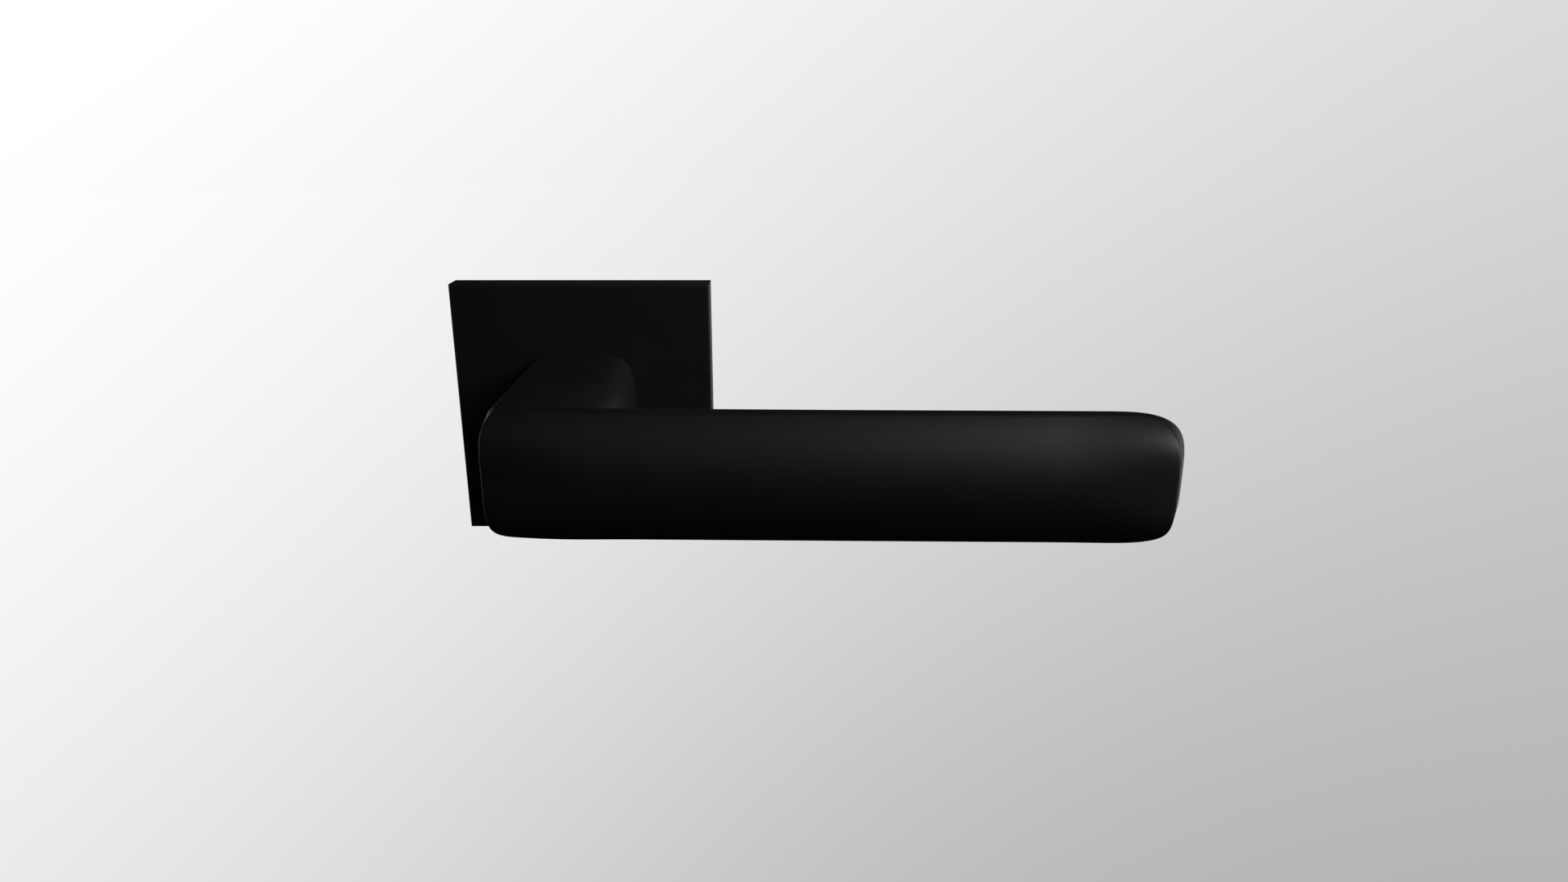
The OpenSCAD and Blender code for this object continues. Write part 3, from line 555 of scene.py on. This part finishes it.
def reach_share(s, squareness):
    """How far out a squared-off round outline reaches at height s."""
    return (1 - abs(s) ** squareness) ** (1 / squareness)


def arm_front(share):
    """The domed front: one large arc, then the small edge rounding with the same slope."""
    h = share * half_h
    if h <= dome_r * math.sin(edge_slope):
        return front + dome_r - math.sqrt(dome_r**2 - h**2)
    return edge_centre - math.sqrt(max(edge_r**2 - (h - half_h + edge_r) ** 2, 0))


def arm_back(share):
    """The flat back with its own rounding towards the top and bottom."""
    rise = max(share * half_h - half_h + back_r, 0)
    return back - back_r + math.sqrt(max(back_r**2 - rise**2, 0))


def heel_share(x):
    """0 along the arm, rising to 1 at the outermost point of the short end."""
    return max(run_marks[0] - x, 0) / heel_run


def face_y(x, s):
    """The front at a place: the dome flattens towards both ends and falls back at the short one."""
    tip_share = max(x - run_marks[1], 0) / tip_run
    power = 1 + (end_flatness - 1) * (tip_share**2 + heel_share(x) ** 2)
    local_height = reach_share(corner_pull * max(x - tip_x, 0) / end_len, end_squareness)
    share = min(abs(s) / local_height, LEVEL_TOP)
    return arm_front(share**power) + heel_fall * heel_share(x) ** 2


def eased(t):
    """Smooth step from 0 to 1."""
    c = min(max(t, 0), 1)
    return c * c * (3 - 2 * c)


def lever_point(x, y, s):
    """The neck stands a little taller than the arm, and the arm leans out towards its tip."""
    along = eased((x - swell_start) / swell_run)
    ahead = eased((back + swell_lead - y) / blend_run)
    swell = 1 + (neck_h / (2 * half_h) - 1) * (1 - along * ahead)
    lean = arm_lean * max(x - neck_w / 2, 0) / (lever_reach - neck_w / 2)
    return Vector((x, y - lean * eased((back + lean_lead - y) / blend_run), s * half_h * swell))


def end_height(s, t):
    """Height within the tip's outline, from where it starts (0) to its outermost point (1)."""
    out = reach_share(s, end_squareness) * t
    return (abs(s) ** end_squareness + out**end_squareness) ** (1 / end_squareness)


def end_path(s, start, crease_x, outline_x):
    """One end of the front: the face, the small bend at its crisp edge, then the sloping wall."""
    crease = Vector((crease_x, face_y(crease_x, s)))
    outermost = Vector((outline_x, edge_centre + heel_fall * heel_share(outline_x) ** 2))
    wall = outermost - crease
    bend = min(crease_r, wall.length / 2)
    side = math.copysign(bend, start - crease_x)
    before = Vector((crease_x + side, face_y(crease_x + side, s)))
    after = crease + wall.normalized() * bend
    steps = [start + (before.x - start) * i / RUN_STEPS for i in range(1, RUN_STEPS)]
    path = [Vector((x, face_y(x, s))) for x in steps]
    for i in range(BEND_STEPS + 1):
        t = i / BEND_STEPS
        path.append(before.lerp(crease, t).lerp(crease.lerp(after, t), t))
    return [*path, outermost]


def lever_loop(s):
    """Outline of the lever at one level: neck, short end, front and tip, then the back and the fillet."""
    outer = reach_share(s, outer_squareness)
    inner = neck_w / 2 * reach_share(s, neck_squareness)
    out = reach_share(s, end_squareness)
    tip_end = tip_x + end_len * out
    wall_depth = edge_centre - face_y(tip_end - tip_slope, s)
    tip_crease = tip_end - tip_slope * wall_depth / (edge_centre - front)
    ahead = [(-neck_w / 2 * outer, neck_end)]
    heel_crease = (heel_slope - heel_reach) * reach_share(s, heel_squareness)
    ahead += end_path(s, run_marks[0], heel_crease, -heel_reach * outer)[::-1]
    ahead += [(x, face_y(x, s)) for x in run_marks]
    ahead += end_path(s, run_marks[1], tip_crease, tip_end)
    behind = [(inner, neck_end)]
    for i in range(END_STEPS + 1):
        a = math.pi / 2 * i / END_STEPS
        behind.append((inner + fillet_r * (1 - math.cos(a)), arm_back(abs(s)) + fillet_r * (1 - math.sin(a))))
    for x in ((inner + fillet_r + run_marks[1]) / 2, run_marks[1], tip_x):
        behind.append((x, arm_back(abs(s))))
    for i in range(1, END_STEPS):
        t = 1 - (1 - i / END_STEPS) ** CORNER_CROWDING
        behind.append((tip_x + end_len * out * t, arm_back(end_height(s, t))))
    return [lever_point(x, y, s) for x, y in ahead + behind[::-1]], len(ahead)


# The levels crowd towards the top and the bottom, where the outline turns fastest.
shell = bmesh.new()
loops = []
for i in range(-LEVEL_STEPS, LEVEL_STEPS + 1):
    s = math.copysign(LEVEL_TOP * (1 - (1 - abs(i) / LEVEL_STEPS) ** LEVEL_CROWDING), i)
    outline, outer_count = lever_loop(s)
    loops.append([shell.verts.new(p) for p in outline])
for below, above in zip(loops, loops[1:]):
    for k in range(len(below)):
        n = (k + 1) % len(below)
        shell.faces.new((below[k], below[n], above[n], above[k]))
# A strip between the outer and the inner side closes the lowest and the highest level.
for rim in (loops[0], loops[-1]):
    inner_rim = rim[:outer_count - 1:-1]
    for k in range(max(outer_count, len(inner_rim)) - 1):
        a, b = min(k, outer_count - 1), min(k + 1, outer_count - 1)
        c, d = min(k, len(inner_rim) - 1), min(k + 1, len(inner_rim) - 1)
        corners = [rim[a], rim[b], inner_rim[d], inner_rim[c]]
        shell.faces.new(list(dict.fromkeys(corners)))
lever = new_piece("lever_casting", shell, matte_black)


def drill(start, end, radius, sides=96):
    """Round cutter from one point to another."""
    shell = bmesh.new()
    bmesh.ops.create_cone(
        shell, cap_ends=True, segments=sides, radius1=radius, radius2=radius, depth=(end - start).length
    )
    cutter = new_piece("cutter", shell, matte_black)
    cutter.rotation_mode = "QUATERNION"
    cutter.rotation_quaternion = (end - start).to_track_quat("Z", "Y")
    cutter.location = (start + end) / 2
    return cutter


shank_low, shank_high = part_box("lever_shank")
shank_r = shank_high.x
seat = 0.02 * mm
socket_end = Vector((0, shank_low.y - seat, 0))
door_face = Vector((0, 0, 0))
cutters = [drill(socket_end, door_face, shank_r + seat)]
for node in ("grub_screw", "cross_pin"):
    low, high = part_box(node)
    middle = (low + high) / 2
    cutters.append(drill(Vector((0, middle.y, -neck_h)), Vector((0, middle.y, 0)), high.x + seat))
cut(lever, cutters)
lever.data.set_sharp_from_angle(angle=SHARP_EDGE)
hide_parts("lever_handle")
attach(lever, "lever")

# ---- Studio --------------------------------------------------------------------------------
# A wide pale floor far enough below that the handle seems to float, and a pale sky above it.
# Seen directly, both glow with one painted gradient by direction, lighter to the upper left and darker to the
# lower right, so no horizon shows between them.
FLOOR_DROP = 0.4
FLOOR_RADIUS = 6.0
GRADIENT = (-0.285, 0.014, 0.35)
GRADIENT_BASE = 0.834


def painted_gradient(tree, way):
    """Painted brightness of the surround in a direction, as a grey: lighter to the left and up, darker to the
    right and down.
    """
    unit = tree.nodes.new("ShaderNodeVectorMath")
    unit.operation = "NORMALIZE"
    tree.links.new(way, unit.inputs[0])
    slope = tree.nodes.new("ShaderNodeVectorMath")
    slope.operation = "DOT_PRODUCT"
    slope.inputs[1].default_value = GRADIENT
    tree.links.new(unit.outputs["Vector"], slope.inputs[0])
    grey = tree.nodes.new("ShaderNodeMath")
    grey.operation = "ADD"
    grey.use_clamp = True
    grey.inputs[1].default_value = GRADIENT_BASE
    tree.links.new(slope.outputs["Value"], grey.inputs[0])
    return grey.outputs["Value"]


def seen_directly(tree):
    """1 for what the camera, a reflection or a clear material sees, 0 for light on surfaces."""
    path = tree.nodes.new("ShaderNodeLightPath")
    seen = path.outputs["Is Camera Ray"]
    for other in ("Is Glossy Ray", "Is Transmission Ray"):
        either = tree.nodes.new("ShaderNodeMath")
        either.operation = "MAXIMUM"
        tree.links.new(seen, either.inputs[0])
        tree.links.new(path.outputs[other], either.inputs[1])
        seen = either.outputs["Value"]
    return seen


def pick_by_ray(tree, unseen, seen):
    """The seen shader for whatever is seen directly, the unseen one for light on surfaces."""
    choose = tree.nodes.new("ShaderNodeMixShader")
    tree.links.new(seen_directly(tree), choose.inputs["Fac"])
    tree.links.new(unseen, choose.inputs[1])
    tree.links.new(seen, choose.inputs[2])
    return choose.outputs["Shader"]


bpy.ops.mesh.primitive_circle_add(
    vertices=96, radius=FLOOR_RADIUS, fill_type="NGON", location=(0, 0, -FLOOR_DROP)
)
floor = bpy.context.object
floor.name = "studio_floor"
# Camera rays and reflections see the floor glow in the painted gradient, plus a faint diffuse that keeps the
# handle's real shadow; light on surfaces sees plain pale grey.
glow_paper = bpy.data.materials.new("pale_painted_glow")
glow_paper.use_nodes = True
tree = glow_paper.node_tree
tree.nodes.clear()
place = tree.nodes.new("ShaderNodeNewGeometry").outputs["Position"]
glow = tree.nodes.new("ShaderNodeEmission")
tree.links.new(painted_gradient(tree, place), glow.inputs["Color"])
shade = tree.nodes.new("ShaderNodeBsdfDiffuse")
shade.inputs["Color"].default_value = (0.04, 0.04, 0.04, 1)
glow_with_shadow = tree.nodes.new("ShaderNodeAddShader")
tree.links.new(glow.outputs["Emission"], glow_with_shadow.inputs[0])
tree.links.new(shade.outputs["BSDF"], glow_with_shadow.inputs[1])
bounce = tree.nodes.new("ShaderNodeBsdfDiffuse")
bounce.inputs["Color"].default_value = (0.7, 0.7, 0.7, 1)
surface = pick_by_ray(tree, bounce.outputs["BSDF"], glow_with_shadow.outputs["Shader"])
tree.links.new(surface, tree.nodes.new("ShaderNodeOutputMaterial").inputs["Surface"])
floor.data.materials.append(glow_paper)

world = bpy.data.worlds.new("pale_sky")
bpy.context.scene.world = world
world.use_nodes = True
tree = world.node_tree
tree.nodes.clear()
way = tree.nodes.new("ShaderNodeTexCoord").outputs["Generated"]
sky = tree.nodes.new("ShaderNodeBackground")
tree.links.new(painted_gradient(tree, way), sky.inputs["Color"])
dim = tree.nodes.new("ShaderNodeBackground")
dim.inputs["Color"].default_value = (0.05, 0.05, 0.05, 1)
surface = pick_by_ray(tree, dim.outputs["Background"], sky.outputs["Background"])
tree.links.new(surface, tree.nodes.new("ShaderNodeOutputWorld").inputs["Surface"])

# Two soft boxes: the key from the upper right in front, and a weaker one from behind above.
aim = Vector((0.04, -0.04, 0))


def soft_box(name, spot, size, watts):
    """Square lamp of that size, aimed at the handle."""
    lamp = bpy.data.lights.new(name, "AREA")
    lamp.shape = "SQUARE"
    lamp.size = size
    lamp.energy = watts
    holder = bpy.data.objects.new(name, lamp)
    bpy.context.scene.collection.objects.link(holder)
    holder.location = spot
    holder.rotation_mode = "QUATERNION"
    holder.rotation_quaternion = (aim - Vector(spot)).to_track_quat("-Z", "Y")
    holder.visible_camera = False


soft_box("key", (0.64, -0.40, 0.43), 0.44, 7.5)
soft_box("rim", (0.04, 0.88, 0.50), 0.4, 0.05)

# Black cards keep the pale surround from greying the black coat; only reflections see them.
# They make a wide tunnel round the handle, open at both sides and low behind.
card_black = bpy.data.materials.new("card_black")
card_black.use_nodes = True
card_shader = card_black.node_tree.nodes["Principled BSDF"]
card_shader.inputs["Base Color"].default_value = (0.01, 0.01, 0.01, 1)
card_shader.inputs["Specular IOR Level"].default_value = 0.0
CARD_HALF_WIDTH = 5.0


def black_card(name, half_w, line):
    """A card bent along a line of (y, z) points and as wide as the studio needs."""
    shell = bmesh.new()
    edges = [[shell.verts.new((x, y, z)) for x in (-half_w, half_w)] for y, z in line]
    for (a, b), (c, d) in zip(edges, edges[1:]):
        shell.faces.new((a, b, d, c))
    card = new_piece(name, shell, card_black)
    for ray in ("camera", "diffuse", "transmission", "shadow", "volume_scatter"):
        setattr(card, f"visible_{ray}", False)


black_card("front_card", CARD_HALF_WIDTH, ((0.5, -0.38), (-1.6, -0.38), (-2.0, 0.6), (-1.6, 2.0)))
black_card("back_card", CARD_HALF_WIDTH, ((-1.6, 2.0), (0, 2.6), (1.4, 2.0), (1.9, 0.9), (2.0, 0.1)))

# The camera stands in front of the rose and a little above it, looking slightly down.
LOOKING_DOWN = 17.97
lens = bpy.data.cameras.new("camera")
lens.sensor_width = 36
lens.lens = 24.44
lens.clip_start = 0.01
camera = bpy.data.objects.new("camera", lens)
bpy.context.scene.collection.objects.link(camera)
camera.location = (0.0409, -0.2164, 0.0617)
camera.rotation_euler = (math.radians(90 - LOOKING_DOWN), 0, 0)
bpy.context.scene.camera = camera
bpy.context.scene.view_settings.view_transform = "Standard"
